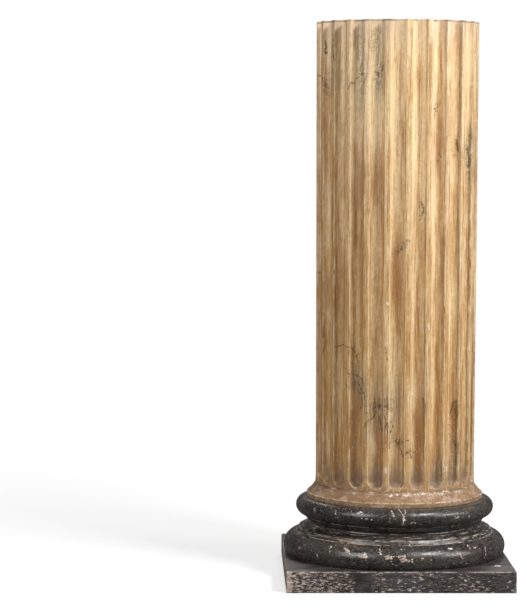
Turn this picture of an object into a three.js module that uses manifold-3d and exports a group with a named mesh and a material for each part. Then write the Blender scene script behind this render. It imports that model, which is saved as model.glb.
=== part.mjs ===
// Half-height fluted column of painted wood, on a turned base and a square plinth.
// Millimetres, +Z up. The origin is the middle of the plinth's underside, and -Y is the front.
import * as THREE from 'three';
import { mergeVertices } from 'three/addons/utils/BufferGeometryUtils.js';
import Module from 'manifold-3d';

const wasm = await Module();
wasm.setup();

// Shaft, cut off square at the top
const SHAFT_HEIGHT = 1031;
const SHAFT_FOOT_RADIUS = 179;
const SHAFT_TOP_RADIUS = 182;
// The shaft stands slightly turned on its base, counted from a flute facing the front.
const SHAFT_TURN_DEG = -2.8;

// Flutes: round hollows with flat lands between them, stopped by a round end at the foot
const FLUTE_COUNT = 24;
const LAND_WIDTH = 12;
const FLUTE_DEPTH = 16;
const FLUTE_FOOT_MARGIN = 5.5;

// Foot ring: a plain band that stands out from the shaft, then a hollow slope that runs up into it
const FOOT_BAND_PROJECTION = 19.5;
const FOOT_BAND_HEIGHT = 11.5;
const FOOT_BAND_LEDGE = 2;
const FOOT_SLOPE_HEIGHT = 21.5;
const FOOT_SLOPE_HOLLOW = 1.5;

// Base moulding, from the top down: upper torus, fillet, scotia, fillet, lower torus.
// A projection is how far a member stands out beyond the one that it is counted from.
const UPPER_TORUS_PROJECTION = 24;
const UPPER_TORUS_ROUND = 20;
const UPPER_TORUS_RISE = 2.5;
const UPPER_FILLET_HEIGHT = 9;
const UPPER_FILLET_SPLAY = 6.5;
const UPPER_FILLET_PROJECTION = 7;
const SCOTIA_NECK_SETBACK = 8.5;
const SCOTIA_COVE_HEIGHT = 3;
const SCOTIA_NECK_HEIGHT = 2;
const SCOTIA_FLARE_HEIGHT = 11.5;
const SCOTIA_FLARE_WIDTH = 26;
const LOWER_FILLET_HEIGHT = 9.5;
const LOWER_FILLET_SPLAY = 5;
const LOWER_TORUS_PROJECTION = 28.5;
const LOWER_TORUS_ROUND = 30.5;
const LOWER_TORUS_SEAT = 9;

// Plinth: one square board with its arrises just eased
const PLINTH_PROJECTION = 0.5;
const PLINTH_THICKNESS = 47;
const PLINTH_ARRIS = 2;

// Facets of the turned surfaces, of a flute's cutter and of its round end
const TURNED_SIDES = 72;
const CUTTER_SIDES = 20;
const CUTTER_END_STEPS = 4;

const radians = THREE.MathUtils.degToRad;

// Points of an elliptic arc in a profile, where x is the radius and y is the height
function arc(x, y, halfWidth, halfHeight, fromAngle, toAngle, steps) {
  const points = [];
  for (let i = 0; i <= steps; i += 1) {
    const angle = fromAngle + ((toAngle - fromAngle) * i) / steps;
    points.push(new THREE.Vector2(x + halfWidth * Math.cos(angle), y + halfHeight * Math.sin(angle)));
  }
  return points;
}

// A solid turned about the Z axis from a profile that starts and ends on the axis
function turned(profile, sides) {
  return new THREE.LatheGeometry(profile, sides).rotateX(Math.PI / 2);
}

function toSolid(geometry) {
  const bare = geometry.clone();
  bare.deleteAttribute('normal');
  bare.deleteAttribute('uv');
  const merged = mergeVertices(bare, 1e-4);
  const solid = new wasm.Mesh({
    numProp: 3,
    vertProperties: merged.attributes.position.array,
    triVerts: new Uint32Array(merged.index.array),
  });
  return new wasm.Manifold(solid);
}

function toGeometry(solid) {
  const mesh = solid.getMesh();
  const geometry = new THREE.BufferGeometry();
  geometry.setAttribute('position', new THREE.BufferAttribute(new Float32Array(mesh.vertProperties), 3));
  geometry.setIndex(new THREE.BufferAttribute(new Uint32Array(mesh.triVerts), 1));
  geometry.computeVertexNormals();
  return geometry;
}

// Radii of the members, from the shaft outwards
const footBandRadius = SHAFT_FOOT_RADIUS + FOOT_BAND_PROJECTION;
const upperTorusRadius = footBandRadius + UPPER_TORUS_PROJECTION;
const neckRadius = footBandRadius - SCOTIA_NECK_SETBACK;
const upperFilletRadius = neckRadius + UPPER_FILLET_PROJECTION;
const upperFilletTopRadius = upperFilletRadius + UPPER_FILLET_SPLAY;
const lowerFilletRadius = neckRadius + SCOTIA_FLARE_WIDTH;
const lowerFilletFootRadius = lowerFilletRadius + LOWER_FILLET_SPLAY;
const lowerTorusRadius = lowerFilletFootRadius + LOWER_TORUS_PROJECTION;
const plinthHalf = lowerTorusRadius + PLINTH_PROJECTION;

function plinthGeometry() {
  const half = plinthHalf - PLINTH_ARRIS;
  const outline = new THREE.Shape();
  outline.moveTo(-half, -half);
  outline.lineTo(half, -half);
  outline.lineTo(half, half);
  outline.lineTo(-half, half);
  outline.closePath();
  const board = new THREE.ExtrudeGeometry(outline, {
    depth: PLINTH_THICKNESS - 2 * PLINTH_ARRIS,
    bevelThickness: PLINTH_ARRIS,
    bevelSize: PLINTH_ARRIS,
    bevelSegments: 1,
  });
  return board.translate(0, 0, PLINTH_ARRIS);
}

// Heights of the base moulding's members above the plinth
const lowerTorusCentre = LOWER_TORUS_ROUND - LOWER_TORUS_SEAT;
const lowerFilletTop = lowerTorusCentre + LOWER_TORUS_ROUND + LOWER_FILLET_HEIGHT;
const neckFoot = lowerFilletTop + SCOTIA_FLARE_HEIGHT;
const neckTop = neckFoot + SCOTIA_NECK_HEIGHT;
const upperFilletTop = neckTop + SCOTIA_COVE_HEIGHT + UPPER_FILLET_HEIGHT;
const upperTorusCentre = upperFilletTop + UPPER_TORUS_RISE + UPPER_TORUS_ROUND;
const baseHeight = upperTorusCentre + UPPER_TORUS_ROUND;

function baseGeometry() {
  const lowerRound = lowerTorusRadius - LOWER_TORUS_ROUND;
  const upperRound = upperTorusRadius - UPPER_TORUS_ROUND;
  const seatAngle = -Math.asin(lowerTorusCentre / LOWER_TORUS_ROUND);
  const filletAngle = Math.acos((lowerFilletFootRadius - lowerRound) / LOWER_TORUS_ROUND);
  const underAngle = -Math.acos((upperFilletTopRadius - upperRound) / UPPER_TORUS_ROUND);
  const quarter = Math.PI / 2;
  const profile = [
    new THREE.Vector2(0, 0),
    ...arc(lowerRound, lowerTorusCentre, LOWER_TORUS_ROUND, LOWER_TORUS_ROUND, seatAngle, filletAngle, 7),
    ...arc(lowerFilletRadius, neckFoot, SCOTIA_FLARE_WIDTH, SCOTIA_FLARE_HEIGHT, -quarter, -2 * quarter, 4),
    ...arc(upperFilletRadius, neckTop, UPPER_FILLET_PROJECTION, SCOTIA_COVE_HEIGHT, 2 * quarter, quarter, 2),
    new THREE.Vector2(upperFilletTopRadius, upperFilletTop),
    ...arc(upperRound, upperTorusCentre, UPPER_TORUS_ROUND, UPPER_TORUS_ROUND, underAngle, quarter, 7),
    new THREE.Vector2(0, baseHeight),
  ];
  return turned(profile, TURNED_SIDES);
}

const footHeight = FOOT_BAND_HEIGHT + FOOT_SLOPE_HEIGHT;

function footRingGeometry() {
  const slopeFoot = new THREE.Vector2(footBandRadius - FOOT_BAND_LEDGE, FOOT_BAND_HEIGHT);
  const slopeTop = new THREE.Vector2(SHAFT_FOOT_RADIUS, footHeight);
  const inwards = new THREE.Vector2(slopeTop.y - slopeFoot.y, slopeFoot.x - slopeTop.x).normalize();
  const hollow = slopeFoot.clone().lerp(slopeTop, 0.5).addScaledVector(inwards, -2 * FOOT_SLOPE_HOLLOW);
  const slope = new THREE.QuadraticBezierCurve(slopeFoot, hollow, slopeTop);
  const profile = [
    new THREE.Vector2(0, 0),
    new THREE.Vector2(footBandRadius, 0),
    new THREE.Vector2(footBandRadius, FOOT_BAND_HEIGHT),
    ...slope.getPoints(4),
    new THREE.Vector2(0, footHeight),
  ];
  return turned(profile, TURNED_SIDES);
}

// One flute's cutter: a round bar with a ball end that lies along the tapering shaft
function fluteCutter() {
  const pitch = (2 * Math.PI * SHAFT_FOOT_RADIUS) / FLUTE_COUNT;
  const halfWidth = (pitch - LAND_WIDTH) / 2;
  const crown = SHAFT_FOOT_RADIUS - Math.sqrt(SHAFT_FOOT_RADIUS ** 2 - halfWidth ** 2);
  const sunk = FLUTE_DEPTH - crown;
  const barRadius = (halfWidth ** 2 + sunk ** 2) / (2 * sunk);
  const barLength = SHAFT_HEIGHT + 2 * barRadius;
  const profile = [
    ...arc(0, 0, barRadius, barRadius, -Math.PI / 2, 0, CUTTER_END_STEPS),
    new THREE.Vector2(barRadius, barLength),
    new THREE.Vector2(0, barLength),
  ];
  const taper = Math.atan((SHAFT_TOP_RADIUS - SHAFT_FOOT_RADIUS) / SHAFT_HEIGHT);
  const endHeight = FLUTE_FOOT_MARGIN + halfWidth;
  const surfaceThere = SHAFT_FOOT_RADIUS + endHeight * Math.tan(taper);
  return turned(profile, CUTTER_SIDES)
    .rotateX(taper)
    .translate(0, -(surfaceThere + barRadius - FLUTE_DEPTH), endHeight);
}

function shaftGeometry() {
  const profile = [
    new THREE.Vector2(0, 0),
    new THREE.Vector2(SHAFT_FOOT_RADIUS, 0),
    new THREE.Vector2(SHAFT_TOP_RADIUS, SHAFT_HEIGHT),
    new THREE.Vector2(0, SHAFT_HEIGHT),
  ];
  let solid = toSolid(turned(profile, TURNED_SIDES));
  for (let i = 0; i < FLUTE_COUNT; i += 1) {
    const turn = radians(SHAFT_TURN_DEG) + (2 * Math.PI * i) / FLUTE_COUNT;
    solid = solid.subtract(toSolid(fluteCutter().rotateZ(turn)));
  }
  return toGeometry(solid);
}

const blackPaint = { color: 0x2b2a28, roughness: 0.42, metalness: 0 };
const plinthPaint = { color: 0x3a3634, roughness: 0.5, metalness: 0 };
const footPaint = { color: 0xa9855a, roughness: 0.5, metalness: 0 };
const marbledPaint = { color: 0xc79a5e, roughness: 0.45, metalness: 0 };

const column = new THREE.Group();

function place(name, geometry, paint, height) {
  const mesh = new THREE.Mesh(geometry, new THREE.MeshStandardMaterial(paint));
  mesh.name = name;
  mesh.position.z = height;
  column.add(mesh);
}

place('plinth', plinthGeometry(), plinthPaint, 0);
place('base_moulding', baseGeometry(), blackPaint, PLINTH_THICKNESS);
place('foot_ring', footRingGeometry(), footPaint, PLINTH_THICKNESS + baseHeight);
place('shaft', shaftGeometry(), marbledPaint, PLINTH_THICKNESS + baseHeight + footHeight);

export default column;
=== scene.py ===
"""A half-height column of painted wood: a marbled fluted shaft, a black turned base and a flaked plinth.

Everything is in metres, with +Z up and the front towards -Y. A place on the column is given by its angle in
degrees, counted from the front towards +X, and its height.
"""
import math

import bpy
import numpy as np
from bpy.props import FloatProperty, FloatVectorProperty, IntProperty, PointerProperty
from bpy.types import Operator, Panel, PropertyGroup
from mathutils import Matrix, Vector


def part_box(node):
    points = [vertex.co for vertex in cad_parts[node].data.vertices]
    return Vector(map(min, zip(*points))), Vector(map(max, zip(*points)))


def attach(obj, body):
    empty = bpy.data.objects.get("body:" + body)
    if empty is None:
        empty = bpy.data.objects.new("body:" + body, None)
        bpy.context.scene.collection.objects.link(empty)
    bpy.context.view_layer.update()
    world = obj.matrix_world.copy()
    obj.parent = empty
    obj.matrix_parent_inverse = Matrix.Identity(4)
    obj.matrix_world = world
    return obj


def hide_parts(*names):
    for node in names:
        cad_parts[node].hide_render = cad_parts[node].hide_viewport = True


bl_info = {
    "name": "Half column",
    "version": (1, 0, 0),
    "blender": (4, 5, 0),
    "location": "3D View > Sidebar > Half column",
    "description": "Builds a marbled half column with its base, plinth and studio",
    "category": "Object",
}

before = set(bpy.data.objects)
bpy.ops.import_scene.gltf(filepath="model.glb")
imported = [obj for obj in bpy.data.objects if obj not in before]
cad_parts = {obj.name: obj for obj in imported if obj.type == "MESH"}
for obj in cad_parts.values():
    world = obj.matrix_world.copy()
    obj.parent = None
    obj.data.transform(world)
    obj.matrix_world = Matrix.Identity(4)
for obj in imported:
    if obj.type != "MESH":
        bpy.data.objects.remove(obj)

PLINTH_LOW, PLINTH_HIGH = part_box("plinth")
BASE_LOW, BASE_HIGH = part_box("base_moulding")
FOOT_LOW, FOOT_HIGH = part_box("foot_ring")
SHAFT_LOW, SHAFT_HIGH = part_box("shaft")
MM = 0.001

COLOUR = {"size": 3, "min": 0, "max": 1, "subtype": "COLOR"}


class ColumnShapes(PropertyGroup):
    """Sizes of the carved and turned forms."""

    flute_count: IntProperty(name="Flutes", description="Flutes round the shaft", default=24, min=3)
    shaft_turn: FloatProperty(
        name="Shaft turn", description="Turn of the shaft from a flute facing the front",
        default=math.radians(-2.8), subtype="ANGLE")
    shaft_foot_radius: FloatProperty(
        name="Shaft foot", description="Radius of the shaft at its foot", default=179 * MM, unit="LENGTH")
    shaft_top_radius: FloatProperty(
        name="Shaft top", description="Radius of the shaft at its top", default=182 * MM, unit="LENGTH")
    land_width: FloatProperty(
        name="Land", description="Width of the flat between two flutes", default=12 * MM, unit="LENGTH")
    flute_depth: FloatProperty(
        name="Flute depth", description="Depth of a flute at its middle", default=16 * MM, unit="LENGTH")
    flute_margin: FloatProperty(
        name="Flute margin", description="Height of a flute's end above the shaft's foot",
        default=5.5 * MM, unit="LENGTH")
    arris_wear: FloatProperty(
        name="Arris wear", description="Depth by which the flutes' arrises are rounded",
        default=0.45 * MM, unit="LENGTH")
    nick_depth: FloatProperty(
        name="Nicks", description="Depth of the deepest nicks in an arris", default=1.6 * MM, unit="LENGTH")
    upper_torus_round: FloatProperty(
        name="Upper torus", description="Half the height of the upper torus",
        default=20 * MM, unit="LENGTH")
    lower_torus_round: FloatProperty(
        name="Lower torus", description="Half the height of the lower torus",
        default=30.5 * MM, unit="LENGTH")
    plinth_arris: FloatProperty(
        name="Plinth arris", description="Rounding of the plinth's arrises", default=2 * MM, unit="LENGTH")
    dent_depth: FloatProperty(
        name="Dents", description="Depth of the dents in the base and the plinth",
        default=0.7 * MM, unit="LENGTH")


class ColumnPaints(PropertyGroup):
    """Colours of the paints and of what shows through them."""

    cream: FloatVectorProperty(
        name="Cream", description="Pale ground of the marbling",
        default=(0.86, 0.66, 0.385), **COLOUR)
    ochre: FloatVectorProperty(
        name="Ochre", description="Glaze of the marbling",
        default=(0.52, 0.285, 0.09), **COLOUR)
    sienna: FloatVectorProperty(
        name="Sienna", description="Brown patches of the marbling",
        default=(0.30, 0.135, 0.05), **COLOUR)
    toffee: FloatVectorProperty(
        name="Toffee", description="Orange brown streaks of the marbling",
        default=(0.36, 0.165, 0.052), **COLOUR)
    stone_grey: FloatVectorProperty(
        name="Stone grey", description="Grey green patches of the marbling",
        default=(0.30, 0.25, 0.16), **COLOUR)
    # Also used for the dark line of painted shade along the lip of each flute's right wall.
    vein_and_shade: FloatVectorProperty(
        name="Vein", description="Dark veins of the marbling",
        default=(0.075, 0.047, 0.022), **COLOUR)
    worn: FloatVectorProperty(
        name="Worn", description="Pale paint that shows along worn arrises",
        default=(0.84, 0.68, 0.46), **COLOUR)
    dust: FloatVectorProperty(
        name="Dust", description="Pinkish bloom near the shaft's foot",
        default=(0.62, 0.47, 0.36), **COLOUR)
    # Also laid as painted shade where the foot ring sits on the base.
    grime_and_shade: FloatVectorProperty(
        name="Grime", description="Dirt in the hollows",
        default=(0.14, 0.10, 0.075), **COLOUR)
    foot: FloatVectorProperty(
        name="Foot ring", description="Tan paint of the foot ring",
        default=(0.25, 0.15, 0.08), **COLOUR)
    foot_light: FloatVectorProperty(
        name="Foot ring light", description="Paler paint of the foot ring",
        default=(0.42, 0.28, 0.155), **COLOUR)
    black: FloatVectorProperty(
        name="Black", description="Black paint of the base and the plinth",
        default=(0.020, 0.018, 0.017), **COLOUR)
    dull_black: FloatVectorProperty(
        name="Dull black", description="Greenish patches in the black of the base",
        default=(0.048, 0.046, 0.038), **COLOUR)
    slate_black: FloatVectorProperty(
        name="Slate black", description="Bluish patches in the black of the plinth",
        default=(0.05, 0.049, 0.056), **COLOUR)
    rubbed: FloatVectorProperty(
        name="Rubbed", description="Brown grey where the black is rubbed thin",
        default=(0.105, 0.085, 0.075), **COLOUR)
    scuffed: FloatVectorProperty(
        name="Scuffed", description="Pinkish grey scuffs in the black",
        default=(0.20, 0.16, 0.15), **COLOUR)
    ground: FloatVectorProperty(
        name="Ground", description="Pinkish ground under the black paint",
        default=(0.44, 0.32, 0.26), **COLOUR)
    chalk: FloatVectorProperty(
        name="Chalk", description="White of the deepest chips",
        default=(0.80, 0.72, 0.58), **COLOUR)


class ColumnStudio(PropertyGroup):
    """The floor, the light and the view."""

    floor_colour: FloatVectorProperty(
        name="Floor", description="Colour of the floor",
        default=(0.49, 0.49, 0.49), **COLOUR)
    floor_glow: FloatProperty(
        name="Floor glow", description="Share of white that the floor shows without light",
        default=0.54, min=0)
    floor_reach: FloatProperty(
        name="Floor reach", description="Distance at which the floor starts to curve up",
        default=6, unit="LENGTH")
    wall_curve: FloatProperty(
        name="Wall curve", description="Radius of the curve from floor to wall", default=3, unit="LENGTH")
    wall_height: FloatProperty(
        name="Wall height", description="Height of the wall behind", default=9, unit="LENGTH")
    room_light: FloatProperty(
        name="Room light", description="Strength of the even white light", default=0.1, min=0)
    key_light: FloatProperty(
        name="Key light", description="Power of the light at the front right",
        default=96, min=0, unit="POWER")
    side_light: FloatProperty(
        name="Side light", description="Power of the light at the right", default=56, min=0, unit="POWER")
    fill_light: FloatProperty(
        name="Fill light", description="Power of the light at the left", default=62, min=0, unit="POWER")
    back_light: FloatProperty(
        name="Back light", description="Power of the light behind", default=62, min=0, unit="POWER")
    eye_height: FloatProperty(
        name="Eye height", description="Height of the camera", default=0.99362, unit="LENGTH")
    eye_distance: FloatProperty(
        name="Eye distance", description="Distance of the camera in front of the axis",
        default=5.38399, unit="LENGTH")
    eye_side: FloatProperty(
        name="Eye side", description="Place of the camera to the right of the axis",
        default=-0.37469, unit="LENGTH")
    eye_turn: FloatProperty(
        name="Eye turn", description="Turn of the camera to the right", default=0.0143, subtype="ANGLE")
    eye_tilt: FloatProperty(
        name="Eye tilt", description="Tilt of the camera down", default=0.0716, subtype="ANGLE")
    eye_roll: FloatProperty(
        name="Eye roll", description="Roll of the camera", default=0.0034, subtype="ANGLE")
    lens: FloatProperty(
        name="Lens", description="Focal length on a picture 36 mm high, in millimetres", default=141.65)


# Noise and meshes

NOISE_CELLS = 32


def soft_noise(points, seed):
    """Smooth noise from -1 to 1 with cells one unit wide, the same for the same seed."""
    table = np.random.default_rng(seed).uniform(-1, 1, (NOISE_CELLS,) * 3)
    cell = np.floor(points).astype(int)
    within = points - cell
    within = within * within * (3 - 2 * within)
    total = np.zeros(points.shape[:-1])
    for corner in np.ndindex(2, 2, 2):
        share = np.prod(np.where(corner, within, 1 - within), axis=-1)
        i, j, k = np.moveaxis((cell + corner) % NOISE_CELLS, -1, 0)
        total += share * table[i, j, k]
    return total


def smooth_step(value, low, high):
    """From 0 at low to 1 at high, with soft ends."""
    share = np.clip((value - low) / (high - low), 0, 1)
    return share * share * (3 - 2 * share)


# Share of a stroke's width within which its paint is full
STROKE_CORE = 0.25


def brushed(flat, radius, lines, tall=1.0):
    """The share of paint at flat places, of lines that each have a width in millimetres and points as angle
    and height: 1 near a line, and 0 a width away from it, or tall times that upwards."""
    share = np.zeros(flat.shape[:-1])
    flat = flat / [1, tall]
    for width, *points in lines:
        ends = [np.array((math.radians(angle) * radius, height / tall)) for angle, height in points]
        for start, end in zip(ends, ends[1:] or ends):
            along = end - start
            part = np.clip((flat - start) @ along / max(along @ along, 1e-12), 0, 1)
            away = np.linalg.norm(flat - start - part[..., None] * along, axis=-1)
            share = np.maximum(share, smooth_step(-away, -width * MM, -STROKE_CORE * width * MM))
    return share


# How far from a vein its marks are told apart, in its widths
FURTHEST = 4.0


def line_marks(flat, radius, lines):
    """Two numbers at each flat place, in widths of the nearest line: how far it is across the line, signed by
    its side, and how far it is away. The first passes zero on the line itself, so a thin line stays sharp."""
    across = np.full(flat.shape[:-1], FURTHEST)
    nearest = np.full(flat.shape[:-1], FURTHEST)
    for width, *points in lines:
        width = width * MM
        ends = [np.array((math.radians(angle) * radius, height)) for angle, height in points]
        for start, end in zip(ends, ends[1:]):
            along, offset = end - start, flat - start
            part = np.clip(offset @ along / (along @ along), 0, 1)
            away = np.linalg.norm(offset - part[..., None] * along, axis=-1) / width
            side = (along[0] * offset[..., 1] - along[1] * offset[..., 0]) / np.linalg.norm(along)
            across = np.where(away < nearest, np.clip(side / width, -FURTHEST, FURTHEST), across)
            nearest = np.minimum(away, nearest)
    return across, nearest


def make_object(name, points, faces, marks, sharp_angle):
    """A smooth shaded object from points and faces, with a number for each point under each mark's name."""
    mesh = bpy.data.meshes.new(name)
    mesh.from_pydata(points.tolist(), [], faces)
    mesh.polygons.foreach_set("use_smooth", [True] * len(mesh.polygons))
    mesh.set_sharp_from_angle(angle=sharp_angle)
    for mark, values in marks.items():
        layer = mesh.attributes.new(mark, "FLOAT", "POINT")
        layer.data.foreach_set("value", np.ascontiguousarray(values, dtype=np.float32))
    mesh.validate()
    made = bpy.data.objects.new(name, mesh)
    bpy.context.scene.collection.objects.link(made)
    return made


def ring_faces(levels, around):
    """The faces between level rings of points, pointing out where the rings rise."""
    faces = []
    for level in range(levels - 1):
        row = level * around
        for i in range(around):
            j = (i + 1) % around
            faces.append((row + i, row + j, row + around + j, row + around + i))
    return faces


def stack_rings(name, rings, marks, sharp_angle):
    """A closed object from level rings of points, each end closed by a fan about its middle."""
    levels, around = rings.shape[:2]
    ends = np.array([rings[0].mean(axis=0), rings[-1].mean(axis=0)])
    points = np.concatenate([rings.reshape(-1, 3), ends])
    low_middle = levels * around
    faces = ring_faces(levels, around)
    top = (levels - 1) * around
    for i in range(around):
        j = (i + 1) % around
        faces.append((low_middle, j, i))
        faces.append((low_middle + 1, top + i, top + j))
    padded = {}
    for mark, values in marks.items():
        padded[mark] = np.concatenate([values.ravel(), [values[0].mean(), values[-1].mean()]])
    return make_object(name, points, faces, padded, sharp_angle)


def on_circle(angle, radius, height):
    """Points at an angle counted from the front towards +X."""
    angle, radius, height = np.broadcast_arrays(angle, radius, height)
    return np.stack([radius * np.sin(angle), -radius * np.cos(angle), height], axis=-1)


def arc_points(centre_radius, centre_height, half_width, half_height, start, end, steps):
    """Radius and height of the points of an elliptic arc in a profile."""
    turn = np.linspace(start, end, steps + 1)
    return np.stack(
        [centre_radius + half_width * np.cos(turn), centre_height + half_height * np.sin(turn)], axis=-1)


def straight(start, end, steps):
    """Radius and height of evenly spaced points, without the first."""
    share = np.arange(1, steps + 1)[:, None] / steps
    return np.asarray(start) + share * (np.asarray(end) - np.asarray(start))


# Marks on the front of the shaft: width in millimetres, then angle and height above the floor of each point
DARK_VEINS = (
    (4.0, (-83.0, 1.122), (-72.0, 1.116), (-68.3, 1.112)),
    (5.0, (-68.2, 1.103), (-67.2, 1.095)),
    (5.0, (-68.3, 1.191), (-67.9, 1.173)),
    (4.5, (-55.0, 1.195), (-54.6, 1.175), (-54.4, 1.158)),
    (3.6, (-39.9, 1.092), (-38.4, 1.102)),
    (4.5, (-33.0, 1.144), (-34.0, 1.132), (-31.7, 1.128)),
    (3.6, (-35.9, 1.114), (-33.0, 1.12), (-28.7, 1.124)),
    (4.0, (-31.6, 1.098), (-26.9, 1.11), (-25.6, 1.119)),
    (3.6, (-16.7, 1.141), (-15.2, 1.131)),
    (4.0, (-13.8, 1.143), (-14.5, 1.131), (-16.0, 1.127)),
    (3.0, (-18.7, 1.123), (-17.4, 1.112)),
    (3.2, (-15.2, 1.116), (-16.6, 1.1)),
    (4.0, (25.4, 1.047), (27.2, 1.043), (29.3, 1.054)),
    (4.0, (27.2, 1.041), (26.3, 1.036)),
    (3.4, (46.0, 0.978), (46.6, 0.96)),
    (3.6, (61.6, 0.962), (62.1, 0.938), (61.3, 0.922)),
    (3.6, (29.6, 0.951), (30.8, 0.943), (29.0, 0.935)),
    (4.6, (15.6, 0.842), (16.8, 0.834), (16.2, 0.82), (14.8, 0.818)),
    (3.4, (-1.1, 0.736), (0.9, 0.751), (3.5, 0.762)),
    (3.0, (0.4, 0.742), (2.8, 0.745)),
    (5.0, (-82.0, 0.681), (-80.5, 0.678)),
    (3.0, (-52.9, 0.522), (-47.5, 0.529), (-42.0, 0.529), (-38.1, 0.525), (-34.8, 0.51), (-34.0, 0.495)),
    (3.4, (-10.8, 0.525), (-9.4, 0.502)),
    (3.4, (-38.6, 0.467), (-33.2, 0.46), (-29.5, 0.455), (-26.3, 0.446)),
    (3.0, (-45.4, 0.452), (-41.3, 0.443), (-39.6, 0.436)),
    (6.0, (-32.2, 0.44), (-30.6, 0.432), (-31.6, 0.427)),
    (5.0, (-27.6, 0.426), (-25.4, 0.421), (-26.4, 0.412), (-29.0, 0.41)),
    (5.0, (-28.6, 0.408), (-27.4, 0.4), (-30.4, 0.393)),
    (4.4, (-25.0, 0.353), (-23.2, 0.366), (-20.6, 0.37), (-19.0, 0.384)),
    (3.4, (-19.6, 0.41), (-18.6, 0.388)),
    (5.0, (-20.4, 0.392), (-17.6, 0.398), (-15.6, 0.392)),
    (3.2, (-15.6, 0.412), (-15.2, 0.392)),
    (4.4, (-14.6, 0.398), (-11.8, 0.395), (-9.0, 0.402)),
    (3.2, (-12.0, 0.412), (-11.8, 0.396)),
    (3.4, (-8.6, 0.414), (-8.9, 0.396), (-7.4, 0.39)),
    (4.4, (-15.9, 0.372), (-14.6, 0.362), (-13.6, 0.348)),
    (3.4, (-12.2, 0.386), (-10.4, 0.372), (-9.4, 0.36)),
    (4.0, (-8.8, 0.369), (-8.9, 0.345), (-8.4, 0.325), (-8.0, 0.309)),
    (3.6, (-6.1, 0.361), (-5.0, 0.349), (-6.7, 0.341)),
    (4.4, (-2.7, 0.318), (-1.2, 0.311), (-0.6, 0.317)),
    (4.0, (-0.6, 0.309), (1.4, 0.297), (3.1, 0.29)),
    (4.6, (3.1, 0.29), (5.7, 0.298), (8.1, 0.301)),
    (3.4, (7.2, 0.294), (8.6, 0.285)),
    (3.0, (2.6, 0.318), (5.6, 0.322)),
    (7.0, (58.9, 0.492), (57.5, 0.482), (56.8, 0.468)),
    (4.4, (46.9, 0.404), (45.1, 0.392), (44.2, 0.378)),
    (4.0, (46.8, 0.315), (47.6, 0.29), (46.8, 0.274)),
    (3.0, (16.6, 0.413), (17.5, 0.397)),
    (4.0, (32.4, 0.258), (32.7, 0.23)),
)
SIENNA_PATCHES = (
    (30, (-32.1, 0.89), (-32.5, 0.865)),
    (26, (-16.3, 0.9), (-15.5, 0.87)),
    (24, (-47.9, 0.735), (-49.0, 0.69), (-49.0, 0.56)),
    (26, (-31.8, 0.76), (-31.8, 0.69)),
    (16, (-66.0, 0.64), (-65.7, 0.54)),
    (20, (-16.6, 0.36), (-16.4, 0.24)),
    (13, (46.4, 0.375), (47.0, 0.33)),
    (20, (-34.0, 0.42), (-34.0, 0.24)),
    (22, (-3.0, 0.72), (-2.0, 0.68)),
    (18, (14.0, 0.4), (15.0, 0.27)),
    (16, (30.0, 1.0), (30.0, 0.94)),
)
GREY_PATCHES = (
    (30, (-32.0, 1.16), (-32.0, 1.09)),
    (26, (-17.0, 1.2), (-17.0, 1.09)),
    (20, (-56.0, 1.21), (-56.0, 1.12)),
    (16, (61.5, 0.98), (61.5, 0.91)),
    (30, (-14.5, 0.405), (-5.0, 0.395)),
    (22, (-31.0, 0.45), (-24.0, 0.39)),
    (18, (-22.0, 0.39), (-24.0, 0.35)),
    (12, (20.0, 0.47), (18.0, 0.39)),
    (14, (46.5, 0.3), (47.5, 0.245)),
    (16, (30.5, 0.26), (31.0, 0.23)),
)
CRACKLED_PATCHES = (
    (26, (-32.5, 1.15), (-31.0, 1.085)),
    (22, (-17.5, 1.145), (-17.5, 1.09)),
    (18, (-70.0, 1.125), (-66.0, 1.085)),
    (12, (-55.5, 1.2), (-57.0, 1.13)),
    (22, (-33.0, 1.22), (-33.0, 1.18)),
    (16, (-19.0, 1.215), (-19.0, 1.18)),
    (14, (25.5, 1.035), (29.6, 1.058)),
    (12, (46.5, 0.99), (46.5, 0.93)),
    (16, (62.0, 0.99), (62.0, 0.9)),
    (14, (-1.5, 0.735), (3.5, 0.76)),
    (12, (16.3, 0.84), (16.4, 0.815)),
    (16, (-36.0, 0.52), (-33.0, 0.46)),
    (22, (-30.5, 0.445), (-27.0, 0.4)),
    (26, (-22.0, 0.392), (-9.0, 0.398)),
    (16, (-10.5, 0.38), (-8.0, 0.32)),
    (24, (-1.5, 0.318), (9.0, 0.296)),
    (12, (-15.0, 0.37), (-13.0, 0.345)),
    (18, (46.5, 0.4), (44.5, 0.33)),
    (20, (48.0, 0.33), (47.0, 0.25)),
    (18, (31.0, 0.275), (31.0, 0.228)),
    (12, (57.5, 0.49), (56.8, 0.46)),
)
WHITE_FLECKS = (
    (3.4, (-9.9, 0.626), (-8.9, 0.622)),
    (3.6, (-10.2, 0.262), (-9.9, 0.254)),
    (2.4, (19.8, 0.578), (19.9, 0.566)),
    (2.6, (36.0, 0.262), (36.0, 0.25)),
)
PALE_STREAKS = (
    (9, (3.0, 0.455), (8.0, 0.43), (8.6, 0.38)),
    (8, (-21.0, 0.33), (-20.5, 0.3)),
)


# Shaft

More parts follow.
